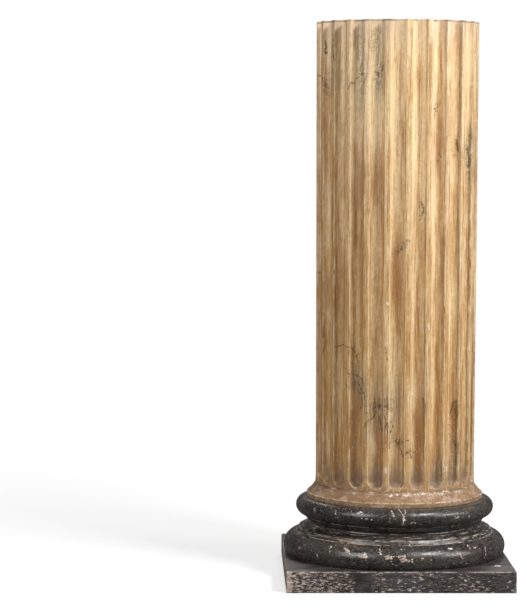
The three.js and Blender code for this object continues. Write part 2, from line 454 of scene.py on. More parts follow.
def flute_cut(shapes, height, radius):
    """What a flute's cutter, a round bar with a ball end, does at heights above the shaft's foot, where the
    shaft has these radii: half the angle that it takes out, its middle's distance from the axis, its radius
    there, the height at which its ball end starts and how far that end reaches down."""
    pitch = 2 * math.pi * shapes.shaft_foot_radius / shapes.flute_count
    half_width = (pitch - shapes.land_width) / 2
    crown = shapes.shaft_foot_radius - math.sqrt(shapes.shaft_foot_radius ** 2 - half_width ** 2)
    sunk = shapes.flute_depth - crown
    bar = (half_width ** 2 + sunk ** 2) / (2 * sunk)
    axis = radius + bar - shapes.flute_depth
    end_height = shapes.flute_margin + half_width
    bar_here = np.sqrt(np.clip(bar ** 2 - np.clip(end_height - height, 0, None) ** 2, 0, None))
    cosine = (radius ** 2 + axis ** 2 - bar_here ** 2) / (2 * radius * axis)
    half_angle = np.arccos(np.clip(cosine, -1, 1))
    return half_angle, axis, bar_here, end_height, math.sqrt(bar ** 2 - (bar - shapes.flute_depth) ** 2)


# Levels of points below a flute's round end, as shares of its height, and round it, as angles
BELOW_END = np.array([0, 0.35, 0.7, 0.95])
END_TURNS = np.radians(np.arange(12, 91, 9))
# Levels of points up a flute above its end, the distance from the top of the last one and of those at the
# rim, and how far the last three are rounded
FLUTE_LEVELS = 176
BELOW_RIM = 6 * MM
RIM_LEVELS = np.array([3.2, 1.2, 0.35, 0]) * MM
RIM_ROUND = np.array([0.15, 0.6, 1.3]) * MM
# Places of points across a flute, from edge to edge, and across a land
FLUTE_PLACES = np.array([-1, -0.93, -0.8, -0.6, -0.4, -0.2, 0, 0.2, 0.4, 0.6, 0.8, 0.93, 1])
LAND_PLACES = np.array([0.12, 0.5, 0.88])
# Sizes of the rings that close the shaft's foot and top, as shares of its own
FOOT_SHARES = (0.5,)
TOP_SHARES = (0.985, 0.95, 0.85, 0.65, 0.4, 0.15)
# How far to either side of a flute's edge the arris is marked, and how far inside it lies the lip on each
# flute's right wall, where a dark line of painted shade runs
ARRIS_REACH = 1.7 * MM
LIP_INSIDE = 1.2 * MM
# How far the hand-finished surface waves, and how far the marbling's marks drift
HAND_WAVES = 0.25 * MM
MARK_DRIFT = 9 * MM
SHAFT_SHARP = math.radians(48)


def build_shaft(shapes):
    height = SHAFT_HIGH.z - SHAFT_LOW.z
    foot_radius = shapes.shaft_foot_radius
    _, _, _, end_height, end_reach = flute_cut(shapes, np.array([height]), foot_radius)
    levels = np.concatenate([
        BELOW_END * (end_height - end_reach),
        end_height - end_reach * np.cos(END_TURNS),
        np.linspace(end_height, height - BELOW_RIM, FLUTE_LEVELS)[1:],
        height - RIM_LEVELS,
    ])
    radius = foot_radius + (shapes.shaft_top_radius - foot_radius) * levels / height
    half_angle, axis, bar_here, _, _ = flute_cut(shapes, levels, radius)

    pitch = 2 * math.pi / shapes.flute_count
    full = half_angle.max()
    spread = np.where(half_angle > 0, np.maximum(half_angle, 0.1 * full), 0)
    low = spread == 0
    spread[low] = full * np.interp(levels[low], [0, levels[low].max()], [0.75, 0.25])
    from_middle = np.concatenate([
        FLUTE_PLACES[None, :] * spread[:, None],
        spread[:, None] + LAND_PLACES[None, :] * (pitch - 2 * spread[:, None]),
    ], axis=1)
    surface = np.repeat(radius[:, None], from_middle.shape[1], axis=1)
    inside = np.clip(bar_here[:, None] ** 2 - (axis[:, None] * np.sin(from_middle)) ** 2, 0, None)
    cut = axis[:, None] * np.cos(from_middle) - np.sqrt(inside)
    is_flute = np.abs(from_middle) < half_angle[:, None]
    surface = np.where(is_flute, np.minimum(cut, surface), surface)

    to_middle = (from_middle + pitch / 2) % pitch - pitch / 2
    half_width = full * foot_radius
    below = np.clip(end_height - levels, 0, None)[:, None] * half_width / end_reach
    past_edge = np.hypot(to_middle * foot_radius, below) - half_width
    arris = np.clip(1 - np.abs(past_edge) / ARRIS_REACH, 0, 1)
    # The lip: a band just inside the edge on each flute's right wall, the wall that faces away from the key
    # light, painted with a dark line of shade.
    lip = np.clip(1 - np.abs(past_edge + LIP_INSIDE) / ARRIS_REACH, 0, 1) * (to_middle > 0)
    across = np.clip(to_middle / full, -1, 1)
    # Painted light and shade on the flutes' walls: negative on each flute's left wall, which faces the key
    # light, where it is painted paler; positive on its right wall, which faces away from it, where it is
    # painted darker.
    lee = np.sign(across) * np.sin(np.abs(across) * math.pi) ** 0.5 * (past_edge < 0)
    angles = np.concatenate(
        [from_middle + shapes.shaft_turn + pitch * i for i in range(shapes.flute_count)], axis=1)
    surface, arris, lip, lee = [
        np.tile(part, (1, shapes.flute_count)) for part in (surface, arris, lip, lee)]
    hollow = (radius[:, None] - surface) / shapes.flute_depth

    rings = on_circle(angles, surface, SHAFT_LOW.z + levels[:, None])
    nicks = smooth_step(soft_noise(rings * [70, 70, 110], 3), 0.45, 0.95)
    long_wear = 0.5 + 0.5 * soft_noise(rings * [18, 18, 9], 4)
    worn = arris * (shapes.arris_wear * (0.7 + 0.9 * long_wear) + shapes.nick_depth * nicks)
    surface = surface - worn - HAND_WAVES * (1 + soft_noise(rings * [30, 30, 5], 5))
    top_wear = smooth_step(soft_noise(rings * [55, 55, 55], 6), 0.1, 0.9)
    rim_round = np.zeros(len(levels))
    rim_round[-len(RIM_ROUND):] = RIM_ROUND
    surface = surface - rim_round[:, None] * (1 + 1.2 * top_wear)
    rings = on_circle(angles, surface, SHAFT_LOW.z + levels[:, None])

    feet = [rings[0] * [share, share, 1] for share in FOOT_SHARES]
    tops = [rings[-1] * [share, share, 1] for share in TOP_SHARES]
    rings = np.concatenate([feet, rings, tops])
    flat = np.stack([np.arctan2(rings[..., 0], -rings[..., 1]) * foot_radius, rings[..., 2]], axis=-1)
    drift = np.stack([soft_noise(rings * 22, seed) for seed in (7, 8)], axis=-1) * MARK_DRIFT

    def over_ends(values, at_top):
        """A mark's values with those of the rings that close the foot and the top added."""
        top = np.repeat(values[-1:] * at_top, len(tops), axis=0)
        return np.concatenate([values[:1] * 0, values, top])

    vein_across, vein_away = line_marks(flat + drift * 0.3, foot_radius, DARK_VEINS)
    marks = {
        "vein_across": vein_across,
        "vein_away": vein_away,
        "hollow": over_ends(hollow, 1),
        "arris": over_ends(arris, 0),
        "lip": over_ends(lip, 0),
        "lee": over_ends(lee, 0),
        "sienna": brushed(flat + drift, foot_radius, SIENNA_PATCHES, 4),
        "grey": brushed(flat + drift, foot_radius, GREY_PATCHES, 3),
        "crackled": brushed(flat + drift, foot_radius, CRACKLED_PATCHES),
        "pale": brushed(flat + drift * 0.5, foot_radius, PALE_STREAKS),
    }
    shaft = stack_rings("shaft_marbled", rings, marks, SHAFT_SHARP)
    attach(shaft, "root")
    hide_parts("shaft")
    return shaft


# Turned pieces

# Points round a turned piece, the angle from which its edges are sharp, and the radius within which its level
# ends stay undented
TURNED_POINTS = 432
TURNED_SHARP = math.radians(40)
HIDDEN_RADIUS = 100 * MM
# Radii of the rings of points on the level ends of the foot ring and of the base
FOOT_END_RINGS = (60 * MM, 150 * MM)
BASE_FOOT_RINGS = (80 * MM, 180 * MM)
BASE_TOP_RINGS = (80 * MM, 150 * MM)


def level_end(radii, height):
    """Points of a profile on a level end."""
    return [(radius, height) for radius in radii]


def turned_piece(name, profile, worn_points, dents, dent_depth):
    """A solid turned from a profile of radius and height, dented inwards, with its worn arrises marked. Worn
    points have a radius, a height and a reach. Dents have their cells, seed, least noise and weight."""
    angles = np.linspace(0, 2 * math.pi, TURNED_POINTS, endpoint=False)
    rings = on_circle(angles[None, :], profile[:, :1], profile[:, 1:])
    slope = np.gradient(profile, axis=0)
    length = np.maximum(np.hypot(slope[:, 0], slope[:, 1]), 1e-9)
    normal = np.stack([slope[:, 1], -slope[:, 0]], axis=1) / length[:, None]
    worn = np.zeros(len(profile))
    for radius, height, reach in worn_points:
        away = np.hypot(profile[:, 0] - radius, profile[:, 1] - height)
        worn = np.maximum(worn, np.clip(1 - away / reach, 0, 1))
    worn = np.repeat(worn[:, None], TURNED_POINTS, axis=1)
    rough = sum(weight * smooth_step(soft_noise(rings * cells, seed), edge, 1)
                for cells, seed, edge, weight in dents)
    chipped = smooth_step(soft_noise(rings * 120, 21), 0.2, 0.8)
    depth = dent_depth * (rough + worn * (0.35 + 1.1 * chipped))
    shown = np.where(profile[:, 0] > HIDDEN_RADIUS, 1, 0)[:, None]
    moved_radius = profile[:, :1] - depth * shown * normal[:, :1]
    moved_height = profile[:, 1:] - depth * shown * normal[:, 1:]
    moved_height = np.clip(moved_height, profile[0, 1], profile[-1, 1])
    rings = on_circle(angles[None, :], moved_radius, moved_height)
    return stack_rings(name, rings, {"arris": worn}, TURNED_SHARP)


# Foot ring: a band, then a hollow slope up into the shaft, and how far the ends of both are rounded
FOOT_BAND_RADIUS = 198.5 * MM
FOOT_BAND_HEIGHT = 11.5 * MM
FOOT_BAND_LEDGE = 2 * MM
FOOT_SLOPE_HOLLOW = 1.5 * MM
FOOT_BAND_SOFT = 1.4 * MM
FOOT_LIP = 0.9 * MM


def build_foot_ring(shapes):
    low, high = FOOT_LOW.z, FOOT_HIGH.z
    soft, lip = FOOT_BAND_SOFT, FOOT_LIP
    band_top = low + FOOT_BAND_HEIGHT
    slope_foot = np.array([FOOT_BAND_RADIUS - FOOT_BAND_LEDGE, band_top])
    slope_top = np.array([shapes.shaft_foot_radius, high])
    along = slope_top - slope_foot
    inwards = np.array([-along[1], along[0]]) / np.hypot(*along)
    bend = (slope_foot + slope_top) / 2 + 2 * FOOT_SLOPE_HOLLOW * inwards
    share = np.linspace(0, 1, 15)[:, None]
    slope = (1 - share) ** 2 * slope_foot + 2 * share * (1 - share) * bend + share ** 2 * slope_top
    profile = np.concatenate([
        level_end(FOOT_END_RINGS, low),
        arc_points(FOOT_BAND_RADIUS - soft / 2, low + soft / 2, soft / 2, soft / 2, -math.pi / 2, 0, 2),
        straight((FOOT_BAND_RADIUS, low + soft / 2), (FOOT_BAND_RADIUS, band_top - soft), 6),
        arc_points(FOOT_BAND_RADIUS - soft, band_top - soft, soft, soft, 0, math.pi / 2, 4)[1:],
        slope[1:-1],
        arc_points(slope_top[0] - lip, high - lip, lip, lip, math.pi / 5, math.pi / 2, 3),
        level_end(FOOT_END_RINGS[::-1], high),
    ])
    worn = [(FOOT_BAND_RADIUS, band_top, 5 * MM), (shapes.shaft_foot_radius, high, 6 * MM)]
    dents = [((90, 90, 90), 11, 0.35, 0.8), ((30, 30, 60), 12, 0.3, 0.6)]
    ring = turned_piece("foot_ring_painted", profile, worn, dents, shapes.dent_depth)
    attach(ring, "root")
    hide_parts("foot_ring")
    return ring


# Base moulding: radii, and heights above its foot, of the tori, the fillets and the scotia between them
LOWER_TORUS_RADIUS = 249.5 * MM
LOWER_TORUS_CENTRE = 21.5 * MM
LOWER_FILLET_FOOT_RADIUS = 221 * MM
LOWER_FILLET_RADIUS = 216 * MM
LOWER_FILLET_TOP = 61.5 * MM
NECK_FOOT = 73 * MM
SCOTIA_NECK_RADIUS = 190 * MM
NECK_TOP = 75 * MM
UPPER_FILLET_RADIUS = 197 * MM
SCOTIA_COVE_HEIGHT = 3 * MM
UPPER_FILLET_TOP_RADIUS = 203.5 * MM
UPPER_FILLET_TOP = 87 * MM
UPPER_TORUS_RADIUS = 222.5 * MM
UPPER_TORUS_CENTRE = 109.5 * MM


def build_base(shapes):
    low, high = BASE_LOW.z, BASE_HIGH.z
    big, small = shapes.lower_torus_round, shapes.upper_torus_round
    big_centre = LOWER_TORUS_RADIUS - big
    small_centre = UPPER_TORUS_RADIUS - small
    seat = -math.asin(LOWER_TORUS_CENTRE / big)
    fillet = math.acos((LOWER_FILLET_FOOT_RADIUS - big_centre) / big)
    under = -math.acos((UPPER_FILLET_TOP_RADIUS - small_centre) / small)
    quarter = math.pi / 2
    fillet_foot = (LOWER_FILLET_FOOT_RADIUS, LOWER_TORUS_CENTRE + big * math.sin(fillet))
    arris = (LOWER_FILLET_RADIUS, LOWER_FILLET_TOP)
    flare = arc_points(
        LOWER_FILLET_RADIUS, NECK_FOOT, LOWER_FILLET_RADIUS - SCOTIA_NECK_RADIUS,
        NECK_FOOT - LOWER_FILLET_TOP, -quarter, -math.pi, 12)
    cove = arc_points(
        UPPER_FILLET_RADIUS, NECK_TOP, UPPER_FILLET_RADIUS - SCOTIA_NECK_RADIUS, SCOTIA_COVE_HEIGHT,
        math.pi, quarter, 5)
    profile = np.concatenate([
        level_end(BASE_FOOT_RINGS, 0),
        arc_points(big_centre, LOWER_TORUS_CENTRE, big, big, seat, fillet, 34),
        straight(fillet_foot, arris, 6),
        flare[1:],
        cove,
        straight(cove[-1], (UPPER_FILLET_TOP_RADIUS, UPPER_FILLET_TOP), 5),
        arc_points(small_centre, UPPER_TORUS_CENTRE, small, small, under, quarter, 28),
        level_end(BASE_TOP_RINGS[::-1], high - low),
    ])
    profile[:, 1] += low
    worn = [
        (LOWER_FILLET_RADIUS, low + LOWER_FILLET_TOP, 5 * MM),
        (LOWER_FILLET_FOOT_RADIUS, low + fillet_foot[1], 3.5 * MM),
        (UPPER_FILLET_TOP_RADIUS, low + UPPER_FILLET_TOP, 3 * MM),
    ]
    dents = [((60, 60, 60), 31, 0.4, 0.9), ((16, 16, 24), 32, 0.2, 0.8)]
    base = turned_piece("base_painted", profile, worn, dents, shapes.dent_depth)
    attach(base, "root")
    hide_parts("base_moulding")
    return base


# Plinth

def edge_steps(low, high, soft, count):
    """Coordinates along one edge of the board, close together at its ends."""
    ends = soft * np.array([0, 0.12, 0.4, 0.75, 1.1])
    middle = np.linspace(low + 4 * soft, high - 4 * soft, count)
    return np.concatenate([low + ends, middle, high - ends[::-1]])


def board_sides(steps):
    """Six grids of points over a box, each with its faces pointing out."""
    for axis in range(3):
        for end in (0, -1):
            across, along = [steps[i] for i in range(3) if i != axis]
            first, second = np.meshgrid(across, along, indexing="ij")
            grid = np.zeros(first.shape + (3,))
            grid[..., axis] = steps[axis][end]
            grid[..., [i for i in range(3) if i != axis]] = np.stack([first, second], axis=-1)
            yield grid, (end == -1) == (axis != 1)


# Evenly spaced points along the board's sides and its thickness, how far from an edge it counts as worn, and
# the angle from which its edges are sharp
PLINTH_POINTS = (110, 110, 14)
PLINTH_WORN = 7 * MM
PLINTH_SHARP = math.radians(50)


def build_plinth(shapes):
    soft = shapes.plinth_arris
    steps = [edge_steps(PLINTH_LOW[i], PLINTH_HIGH[i], soft, PLINTH_POINTS[i]) for i in range(3)]
    corners, places, faces = [], {}, []
    for grid, outwards in board_sides(steps):
        rows, columns = grid.shape[:2]
        names = np.zeros((rows, columns), dtype=int)
        for i in range(rows):
            for j in range(columns):
                key = tuple(np.round(grid[i, j], 6))
                if key not in places:
                    places[key] = len(corners)
                    corners.append(grid[i, j])
                names[i, j] = places[key]
        for i in range(rows - 1):
            for j in range(columns - 1):
                face = (names[i, j], names[i + 1, j], names[i + 1, j + 1], names[i, j + 1])
                faces.append(tuple(int(k) for k in (face if outwards else face[::-1])))
    points = np.array(corners)
    low, high = np.array(PLINTH_LOW), np.array(PLINTH_HIGH)
    core = np.clip(points, low + soft, high - soft)
    away = points - core
    length = np.linalg.norm(away, axis=1, keepdims=True)
    points = core + away / np.maximum(length, 1e-9) * soft
    to_edge = np.sort(np.minimum(points - low, high - points), axis=1)[:, 1]
    arris = np.clip(1 - to_edge / PLINTH_WORN, 0, 1)
    dents = smooth_step(soft_noise(points * [40, 40, 60], 41), 0.35, 1)
    bumps = smooth_step(soft_noise(points * [110, 110, 110], 42), 0.1, 0.9)
    depth = shapes.dent_depth * (0.5 * dents + arris * (0.4 + 1.6 * bumps))
    inwards = (low + high) / 2 - points
    inwards[:, 2] *= 4
    on_floor = np.abs(points[:, 2] - low[2]) < 0.2 * MM
    depth[on_floor] = 0
    points = points + inwards / np.linalg.norm(inwards, axis=1, keepdims=True) * depth[:, None]
    plinth = make_object("plinth_board", points, faces, {"arris": arris}, PLINTH_SHARP)
    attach(plinth, "root")
    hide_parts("plinth")
    return plinth


# Paint

class Nodes:
    """A node tree. Each call adds a node and gives back what it puts out."""

    def __init__(self, tree):
        self.tree = tree

    def node(self, kind, inputs=None, **settings):
        made = self.tree.nodes.new("ShaderNode" + kind)
        for key, value in settings.items():
            setattr(made, key, value)
        for key, value in (inputs or {}).items():
            self.feed(made.inputs[key], value)
        return made

    def feed(self, socket, value):
        if isinstance(value, bpy.types.NodeSocket):
            self.tree.links.new(value, socket)
        elif socket.type == "RGBA" and len(value) == 3:
            socket.default_value = (*value, 1)
        else:
            socket.default_value = value

    def math(self, operation, first, second=0.0, clamp=False):
        made = self.node("Math", {0: first, 1: second}, operation=operation)
        made.use_clamp = clamp
        return made.outputs[0]

    def joined(self, operation, values):
        """The values taken together in their order, where a tuple stands for its parts' product."""
        total, *others = [self.times(*value) if isinstance(value, tuple) else value for value in values]
        for value in others:
            total = self.math(operation, total, value)
        return total

    def add(self, *values):
        return self.joined("ADD", values)

    def times(self, *values):
        return self.joined("MULTIPLY", values)

    def most(self, *values):
        return self.joined("MAXIMUM", values)

    def less(self, value):
        return self.math("SUBTRACT", 1.0, value, clamp=True)

    def fade(self, value, low, high):
        """From 0 where the value is low to 1 where it is high."""
        made = self.node("MapRange", {0: value, 1: low, 2: high}, interpolation_type="SMOOTHSTEP")
        return made.outputs[0]

    def ramp(self, value, low, high):
        """From 0 where the value is low to 1 where it is high, evenly."""
        return self.node("MapRange", {0: value, 1: low, 2: high}).outputs[0]

    def blend(self, share, first, second):
        made = self.node("Mix", {0: share, 6: first, 7: second}, data_type="RGBA")
        return made.outputs[2]

    def over(self, colour, tone, *shares):
        """The colour with as much of the tone laid over it as the shares' product."""
        return self.blend(self.times(*shares), colour, tone)

    def vector(self, operation, *values):
        return self.node("VectorMath", dict(enumerate(values)), operation=operation).outputs

    def scaled(self, arrow, share):
        return self.node("VectorMath", {0: arrow, "Scale": share}, operation="SCALE").outputs[0]


class Paint(Nodes):
    """One material's node tree."""

    def __init__(self, name):
        self.material = bpy.data.materials.new(name)
        self.material.use_nodes = True
        super().__init__(self.material.node_tree)
        self.shader = self.tree.nodes["Principled BSDF"]

    def place(self):
        return self.node("TexCoord").outputs["Object"]

    def stretch(self, place, *scale):
        return self.vector("MULTIPLY", place, scale)[0]

    def noise(self, place, scale, detail=3.0, rough=0.55, warp=0.0):
        made = self.node("TexNoise", {
            "Vector": place, "Scale": scale, "Detail": detail, "Roughness": rough, "Distortion": warp})
        return made.outputs[0]

    def drawn(self, place, squeeze, scale, detail=3.0, rough=0.55):
        """Noise drawn out upwards, or flattened where the squeeze is over 1."""
        return self.noise(self.stretch(place, 1, 1, squeeze), scale, detail, rough)

    def spots(self, place, scale, detail, rough, low, high):
        """Noise from 0 where it is low to 1 where it is high."""
        return self.fade(self.noise(place, scale, detail, rough), low, high)

    def threads(self, place, scale, width, warp=0.0):
        """Thin wandering lines, where a noise crosses its middle."""
        level = self.math("ABSOLUTE", self.add(self.noise(place, scale, 4.0, 0.6, warp), -0.5))
        return self.less(self.fade(level, 0.0, width))

    def mark(self, name):
        return self.node("Attribute", attribute_name=name).outputs["Fac"]

    def parts(self, place):
        return self.node("SeparateXYZ", {0: place}).outputs

    def unrolled(self, place, radius):
        """The surface rolled out flat: how far round from the front, and how high."""
        x, y, z = self.parts(place)
        angle = self.math("ARCTAN2", x, self.times(y, -1.0))
        return self.node("CombineXYZ", {0: self.times(angle, radius), 1: z, 2: 0.0}).outputs[0]

    def shaken(self, place, scale, reach):
        """A place moved about by noise, for edges that wander."""
        drift = self.node("TexNoise", {"Vector": place, "Scale": scale, "Detail": 3.0}).outputs[1]
        centred = self.vector("SUBTRACT", drift, (0.5, 0.5, 0.5))[0]
        return self.vector("ADD", place, self.scaled(centred, reach))[0]

    def touch(self, group, before, place, start, end, width):
        """A brush stroke laid over the strokes before it."""
        made = self.node("Group", node_tree=group)
        for name, value in (
                ("Before", before), ("Place", place), ("Start", start), ("End", end), ("Width", width)):
            self.feed(made.inputs[name], value)
        return made.outputs[0]

    def finish(self, colour, rough, relief, reach, strength):
        """The material, with its colour, its roughness and a relief as deep as its reach."""
        bump = self.node("Bump", {"Height": relief, "Distance": reach, "Strength": strength})
        for name, value in (("Base Color", colour), ("Roughness", rough), ("Normal", bump.outputs[0])):
            self.feed(self.shader.inputs[name], value)
        return self.material


def brush_group():
    """A stroke's share of paint: 1 near the line from start to end, and 0 a width away from it."""
    nodes = Nodes(bpy.data.node_groups.new("brush_stroke", "ShaderNodeTree"))
    sockets = nodes.tree.interface
    for name in ("Place", "Start", "End"):
        sockets.new_socket(name, in_out="INPUT", socket_type="NodeSocketVector")
    for name in ("Width", "Before"):
        sockets.new_socket(name, in_out="INPUT", socket_type="NodeSocketFloat")
    sockets.new_socket("Share", in_out="OUTPUT", socket_type="NodeSocketFloat")
    place, start, end, width, before = nodes.tree.nodes.new("NodeGroupInput").outputs[:5]
    result = nodes.tree.nodes.new("NodeGroupOutput")

    to_place = nodes.vector("SUBTRACT", place, start)[0]
    to_end = nodes.vector("SUBTRACT", end, start)[0]
    along = nodes.math(
        "DIVIDE", nodes.vector("DOT_PRODUCT", to_place, to_end)["Value"],
        nodes.vector("DOT_PRODUCT", to_end, to_end)["Value"], clamp=True)
    away = nodes.vector("DISTANCE", to_place, nodes.scaled(to_end, along))["Value"]
    share = nodes.fade(away, width, nodes.times(width, STROKE_CORE))
    nodes.feed(result.inputs[0], nodes.most(share, before))
    return nodes.tree


def strokes(paint, group, place, radius, lines):
    """The most of many strokes, each a width in millimetres and its points as angle and height."""
    share = 0.0
    for width, *points in lines:
        flat = [(math.radians(angle) * radius, height, 0) for angle, height in points]
        for start, end in zip(flat, flat[1:] or flat):
            share = paint.touch(group, share, place, start, end, width * MM)
    return share


# Heights of the shaft's bands of dust, stain and dirt above its foot, and of the handled band below its top
DUST_BAND = 160 * MM
STAIN_BAND = 50 * MM
DIRT_BAND = 75 * MM
HANDLED_BAND = 70 * MM


def paint_shaft(paints, group):
    paint = Paint("marbled_paint")
    place = paint.place()
    radius = (SHAFT_HIGH.x - SHAFT_LOW.x) / 2
    foot, top = SHAFT_LOW.z, SHAFT_HIGH.z
    hollow = paint.mark("hollow")
    x, _, height = paint.parts(place)
    wandering = paint.shaken(paint.unrolled(place, radius), 90.0, 0.012)

    grain = paint.drawn(place, 0.05, 260.0, 3.0, 0.7)
    streaks = paint.drawn(place, 0.05, 90.0, 4.0, 0.7)
    patches = paint.drawn(place, 0.22, 26.0, 5.0, 0.7)
    clouds = paint.drawn(place, 0.35, 8.0, 3.0, 0.6)
    drop = paint.math("POWER", paint.ramp(height, top, foot), 0.6)
    # Darker towards the left, the side that faces away from the key light: painted shade.
    side = paint.ramp(x, -0.2 * radius, -radius)
    scurf = paint.drawn(place, 0.45, 190.0, 4.0, 0.7)
    # How far each place goes from cream towards ochre: darker towards the foot, by the paint's own tone;
    # darker towards the left as painted shade, most of all at the lower left; painted shade on each flute's
    # right wall and painted light on its left wall; somewhat darker on the lands; and the marbling's clouds,
    # patches, streaks and scurf.
    aged_and_shaded = paint.add(
        (drop, 0.46), (side, 0.14), (side, drop, 0.43), (paint.mark("lee"), 0.16),
        (paint.fade(hollow, 0.15, 0.0), 0.12), (clouds, 0.7), (patches, 1.1), (streaks, 1.5), (scurf, 1.2),
        -2.06)
    colour = paint.blend(paint.fade(aged_and_shaded, -0.15, 1.05), paints.cream, paints.ochre)
    combed = paint.fade(paint.add((grain, 0.6), (streaks, 0.4)), 0.5, 0.6)
    # The toffee streaks are laid stronger where the glaze goes deeper, so also where shade is painted.
    colour = paint.over(colour, paints.toffee, combed, paint.ramp(aged_and_shaded, -0.4, 1.0), 0.8)
    colour = paint.over(colour, paints.worn, paint.less(paint.fade(grain, 0.36, 0.44)), 0.6)
    blotches = paint.fade(patches, 0.3, 0.6)
    colour = paint.over(colour, paints.toffee, paint.mark("sienna"), blotches, 0.75)
    mottled = paint.fade(paint.add(patches, grain), 0.8, 1.2)
    colour = paint.over(colour, paints.stone_grey, paint.mark("grey"), mottled, 0.6)

    crackled = paint.mark("crackled")
    curls = paint.times(paint.threads(place, 42.0, 0.03, 1.0), paint.fade(crackled, 0.1, 0.6))
    specks = paint.fade(paint.add(paint.noise(place, 230.0, 3.0, 0.7), (crackled, 0.13)), 0.68, 0.73)
    tremble = paint.noise(place, 210.0, 3.0, 0.75)
    across = paint.math("ABSOLUTE", paint.add(paint.mark("vein_across"), (tremble, 2.0), -1.0))
    away = paint.add(paint.mark("vein_away"), tremble, -0.5)
    torn = paint.times(
        paint.less(paint.fade(across, 0.15, 0.65)), paint.less(paint.fade(away, 0.9, 1.7)),
        paint.spots(place, 150.0, 3.0, 0.7, 0.38, 0.54))
    colour = paint.over(colour, paints.vein_and_shade, paint.most(torn, (curls, 0.6), (specks, 0.6)), 0.86)

    # A broken dark line of painted shade along the lip of each flute's right wall, which faces away from the
    # key light.
    colour = paint.over(colour, paints.vein_and_shade, paint.mark("lip"), paint.fade(streaks, 0.38, 0.54), 0.55)
    pale = paint.times(paint.mark("pale"), paint.fade(paint.drawn(place, 0.4, 160.0, 3.0, 0.7), 0.4, 0.6))
    broken = paint.fade(paint.drawn(place, 0.25, 120.0, 4.0, 0.7), 0.4, 0.56)
    arris = paint.mark("arris")
    worn_edge = paint.times(paint.fade(arris, 0.3, 0.9), broken)
    colour = paint.over(colour, paints.worn, paint.most(pale, worn_edge), 0.75)

    near_foot = paint.ramp(height, foot + DUST_BAND, foot)
    dusty = paint.add(scurf, (near_foot, 0.1), (arris, 0.06))
    colour = paint.over(colour, paints.dust, paint.fade(dusty, 0.6, 0.7), 0.55)
    small = paint.add(paint.noise(place, 240.0, 2.0, 0.5), (near_foot, 0.05))
    flecks = paint.most(strokes(paint, group, wandering, radius, WHITE_FLECKS), paint.fade(small, 0.74, 0.78))
    colour = paint.over(colour, paints.chalk, flecks)

    colour = paint.over(colour, paints.dust, paint.ramp(height, top - HANDLED_BAND, top), blotches, 0.5)
    stain = paint.spots(place, 90.0, 4.0, 0.7, 0.36, 0.56)
    colour = paint.over(colour, paints.foot, paint.ramp(height, foot + STAIN_BAND, foot), stain, 0.75)
    settled = paint.fade(paint.add((hollow, 0.8), patches), 0.6, 1.1)
    foot_dirt = paint.times(paint.ramp(height, foot + DIRT_BAND, foot), settled)
    top_face = paint.fade(height, top - 1 * MM, top - 0.5 * MM)
    rim_dirt = paint.times(paint.fade(height, top - 6 * MM, top - 3 * MM), blotches, paint.less(top_face))
    dirt = paint.most((foot_dirt, 0.85), (rim_dirt, 0.8))
    colour = paint.over(colour, paints.grime_and_shade, dirt)
    colour = paint.over(colour, paints.dust, top_face, 0.7)

    rough = paint.add(0.34, (grain, 0.16), (dirt, 0.25), (worn_edge, 0.1), (top_face, 0.4))
    relief = paint.add((streaks, 0.5), (grain, 0.6), (paint.noise(place, 30.0), 0.8))
    return paint.finish(colour, rough, relief, 0.6 * MM, 0.5)


FOOT_CHIPS = (
    (4.0, (-10.4, 0.204), (-4.0, 0.203)),
    (5.0, (-3.0, 0.205), (10.5, 0.206)),
    (4.0, (12.0, 0.207), (30.0, 0.207)),
    (4.0, (31.0, 0.206), (49.4, 0.206)),
)


def paint_foot_ring(paints, group):
    paint = Paint("foot_paint")
    place = paint.place()
    radius = (SHAFT_HIGH.x - SHAFT_LOW.x) / 2
    wandering = paint.shaken(paint.unrolled(place, radius), 90.0, 0.012)
    height = paint.parts(place)[2]
    ringwise = paint.drawn(place, 9, 22.0, 4.0, 0.65)
    clouds = paint.noise(place, 26.0, 4.0, 0.65)
    fine = paint.drawn(place, 2.5, 170.0, 3.0, 0.7)
    light = paint.fade(paint.add((ringwise, 0.6), (clouds, 0.6)), 0.5, 0.72)
    colour = paint.blend(light, paints.foot, paints.foot_light)
    colour = paint.over(colour, paints.sienna, paint.fade(fine, 0.42, 0.6), 0.75)
    colour = paint.over(colour, paints.dust, paint.spots(place, 60.0, 4.0, 0.7, 0.48, 0.62), 0.5)
    arris = paint.fade(paint.mark("arris"), 0.45, 0.95)
    colour = paint.over(colour, paints.worn, arris, paint.spots(place, 90.0, 3.0, 0.7, 0.4, 0.56), 0.75)

    touched = strokes(paint, group, wandering, radius, FOOT_CHIPS)
    flaky = paint.drawn(place, 1.6, 170.0, 3.0, 0.65)
    chips = paint.fade(paint.add((touched, 0.25), flaky), 0.7, 0.76)
    tone = paint.blend(paint.spots(place, 110.0, 2.0, 0.5, 0.42, 0.62), paints.dust, paints.chalk)
    colour = paint.over(colour, tone, chips)
    open_joint = paint.fade(height, FOOT_HIGH.z - 5 * MM, FOOT_HIGH.z - 2 * MM)
    joint = paint.times(open_joint, paint.spots(place, 40.0, 3.0, 0.6, 0.38, 0.54))
    speckle = paint.spots(place, 220.0, 3.0, 0.7, 0.5, 0.62)
    # Painted shade along the ring's lowest 3 mm, where it sits on the base.
    seat = paint.ramp(height, FOOT_LOW.z + 3 * MM, FOOT_LOW.z)
    colour = paint.over(colour, paints.grime_and_shade, paint.most((joint, 0.8), (speckle, 0.6), (seat, 0.7)))

    relief = paint.add((clouds, 0.6), (fine, 0.5), (joint, -1.2))
    return paint.finish(colour, paint.add(0.42, (clouds, 0.2)), relief, 0.8 * MM, 0.7)


